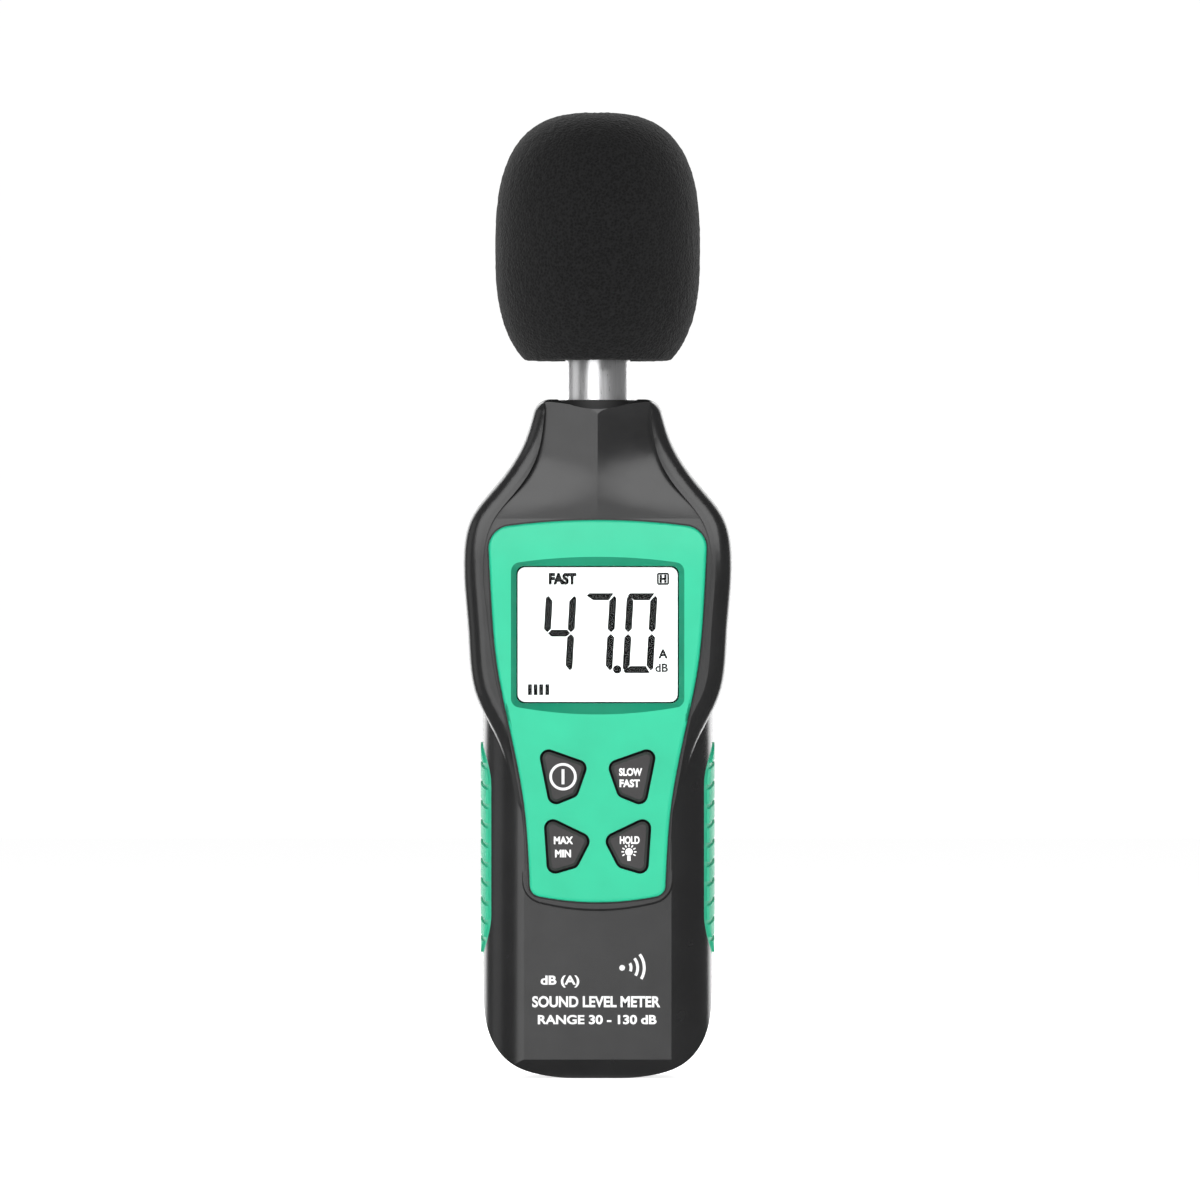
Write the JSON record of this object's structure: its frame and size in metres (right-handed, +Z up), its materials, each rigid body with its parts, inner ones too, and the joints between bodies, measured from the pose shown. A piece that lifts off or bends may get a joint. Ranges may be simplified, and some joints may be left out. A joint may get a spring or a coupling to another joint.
{
  "type": "sound level meter",
  "caption": "Handheld sound level meter with a foam windscreen on a metal microphone tube, a digital display, rubber keys and ribbed side grips.",
  "frame": {"origin": "under the middle of the case, on the microphone's axis, at the height of the case's lowest point", "axes": "+Z up the length of the meter towards the microphone, -Y is the side with the display, +Y is the back, +X is the right-hand side seen from the front"},
  "size_m": [0.057, 0.0438, 0.206],
  "materials": {
    "case_plastic": "satin",
    "accent_plastic": "satin",
    "grip_rubber": "matt",
    "key_rubber": "matt",
    "black_rubber": "matt",
    "white_rubber": "matt",
    "carbon": "matt",
    "clear_window": "gloss",
    "display_glass": "gloss",
    "white_plastic": "satin",
    "diffuser": "satin",
    "foam": "open foam",
    "aluminium": "satin",
    "steel": "satin",
    "brass": "satin",
    "gold_pads": "gloss",
    "circuit_board": "satin",
    "chip_epoxy": "matt",
    "capacitor_can": "satin",
    "trimmer_blue": "gloss",
    "cell_steel": "printed sleeve",
    "lead_red": "satin",
    "lead_black": "satin",
    "lead_grey": "satin",
    "label_film": "satin"
  },
  "bodies": {
    "case": {"amplifier_chip": "chip_epoxy", "backlight_led": "white_plastic", "backlight_panel": "diffuser", "battery_lead_black": "lead_black", "battery_lead_red": "lead_red", "board_screws": "steel", "capacitors": "capacitor_can", "case_screws": "steel", "contact_bridges": "steel", "contact_springs": "steel", "contact_terminals": "steel", "crystal": "steel", "front_bezel": "accent_plastic", "front_shell": "case_plastic", "key_contacts": "gold_pads", "keypad_sheet": "key_rubber", "lcd_frame": "white_plastic", "lcd_gasket": "black_rubber", "lcd_glass": "display_glass", "lcd_window": "clear_window", "left_grip": "grip_rubber", "main_board": "circuit_board", "mic_bush": "black_rubber", "mic_capsule": "aluminium", "mic_grid": "aluminium", "mic_lead": "lead_grey", "mic_tube": "aluminium", "processor_chip": "chip_epoxy", "rating_label": "label_film", "rear_shell": "case_plastic", "right_grip": "grip_rubber", "trimmer_body": "trimmer_blue", "tripod_insert": "brass", "zebra_strips": "white_rubber"},
    "windscreen": {"windscreen": "foam"},
    "door": {"battery_door": "case_plastic", "door_pad": "black_rubber", "door_screws": "steel"},
    "cells": {"cell_left": "cell_steel", "cell_middle": "cell_steel", "cell_right": "cell_steel"},
    "trimmer": {"trimmer_rotor": "white_plastic"},
    "key_power": {"key_power": "key_rubber", "pill_power": "carbon"},
    "key_response": {"key_response": "key_rubber", "pill_response": "carbon"},
    "key_max_min": {"key_max_min": "key_rubber", "pill_max_min": "carbon"},
    "key_hold": {"key_hold": "key_rubber", "pill_hold": "carbon"}
  },
  "joints": [
    {"name": "windscreen_pull", "type": "slide", "parent": "case", "child": "windscreen", "axis": [0, 0, 1], "range_m": [0, 0.06]},
    {"name": "door_lift", "type": "slide", "parent": "case", "child": "door", "axis": [0, 1, 0], "range_m": [0, 0.06]},
    {"name": "cells_lift", "type": "slide", "parent": "case", "child": "cells", "axis": [0, 1, 0], "range_m": [0, 0.024]},
    {"name": "trimmer_turn", "type": "hinge", "parent": "case", "child": "trimmer", "pos_m": [0.015, -0.002, 0.098], "axis": [0, 1, 0], "range_deg": [-120, 120]},
    {"name": "key_power_press", "type": "slide", "parent": "case", "child": "key_power", "axis": [0, 1, 0], "range_m": [0, 0.0007], "stiffness_N_per_m": 800, "springref_m": -0.0005},
    {"name": "key_response_press", "type": "slide", "parent": "case", "child": "key_response", "axis": [0, 1, 0], "range_m": [0, 0.0007], "stiffness_N_per_m": 800, "springref_m": -0.0005},
    {"name": "key_max_min_press", "type": "slide", "parent": "case", "child": "key_max_min", "axis": [0, 1, 0], "range_m": [0, 0.0007], "stiffness_N_per_m": 800, "springref_m": -0.0005},
    {"name": "key_hold_press", "type": "slide", "parent": "case", "child": "key_hold", "axis": [0, 1, 0], "range_m": [0, 0.0007], "stiffness_N_per_m": 800, "springref_m": -0.0005}
  ],
  "couplings": [
    {"joint": "cells_lift", "follows": "door_lift", "ratio": 0.4}
  ]
}
